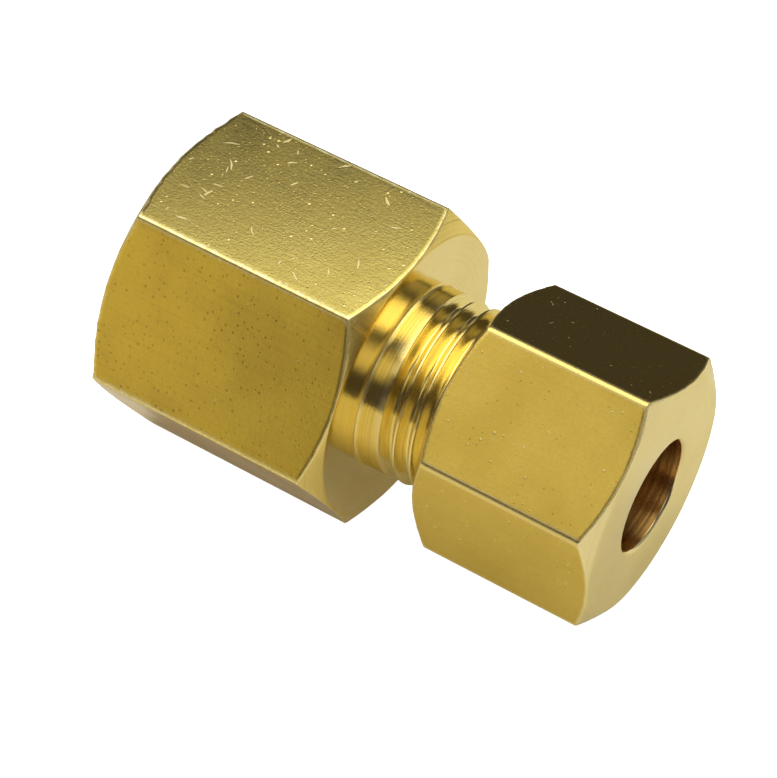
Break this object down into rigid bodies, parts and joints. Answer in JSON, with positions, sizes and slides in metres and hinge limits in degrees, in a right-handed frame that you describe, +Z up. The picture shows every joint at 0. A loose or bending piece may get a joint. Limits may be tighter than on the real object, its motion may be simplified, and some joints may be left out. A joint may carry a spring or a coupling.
{
  "type": "compression fitting",
  "caption": "Brass female connector for a small tube: hexagon body with an inner pipe thread, screwed compression nut and a tapered ferrule inside.",
  "frame": {"origin": "on the fitting's axis, at the shoulder inside the neck where the tube stops", "axes": "+X out along the tube, +Z up out of one flat of the body's hexagon, and the opposite flat is what the fitting rests on"},
  "size_m": [0.0313, 0.0202, 0.0174],
  "materials": {
    "body_brass": "drawn hexagon bar with turned ends, lightly scratched",
    "nut_brass": "drawn hexagon bar with turned ends, slightly rounded edges",
    "ferrule_brass": "fine turned"
  },
  "bodies": {
    "connector": {"connector_body": "body_brass"},
    "sleeve": {"ferrule": "ferrule_brass"},
    "nut": {"compression_nut": "nut_brass"}
  },
  "joints": [
    {"name": "sleeve_slide", "type": "slide", "parent": "connector", "child": "sleeve", "axis": [1, 0, 0], "range_m": [-0.00026, 0.00344]},
    {"name": "nut_turn", "type": "hinge", "parent": "sleeve", "child": "nut", "pos_m": [0.009, 0, 0], "axis": [1, 0, 0], "range_deg": [-90, 1170]}
  ],
  "couplings": [
    {"joint": "nut_turn", "follows": "sleeve_slide", "rad_per_m": 5937.1}
  ]
}
